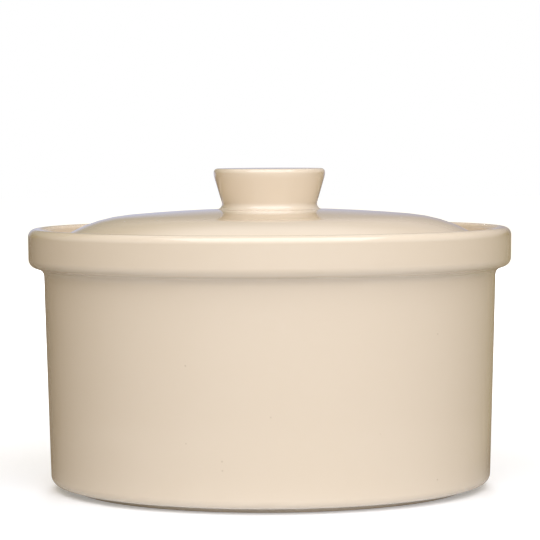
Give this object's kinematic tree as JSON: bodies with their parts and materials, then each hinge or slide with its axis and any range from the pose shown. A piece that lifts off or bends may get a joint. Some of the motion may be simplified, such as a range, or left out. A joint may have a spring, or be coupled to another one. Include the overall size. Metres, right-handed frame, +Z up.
{
  "type": "casserole dish",
  "caption": "Round glazed ceramic casserole dish with an upright wall, an overhanging rim band and a recessed domed lid with a flared knob.",
  "frame": {"origin": "middle of the base, on the plane that the foot ring stands on", "axes": "+Z up along the turning axis, X and Y level; the dish is round, so X is simply to the right in the picture and +Y points away from its camera"},
  "size_m": [0.225, 0.225, 0.1487],
  "materials": {
    "cream_glaze": "glossy clear-coated cream glaze"
  },
  "bodies": {
    "pot": {"pot": "cream_glaze"},
    "lid": {"lid": "cream_glaze"}
  },
  "joints": [
    {"name": "lid_lift", "type": "slide", "parent": "pot", "child": "lid", "axis": [0, 0, 1], "range_m": [0, 0.15]}
  ]
}
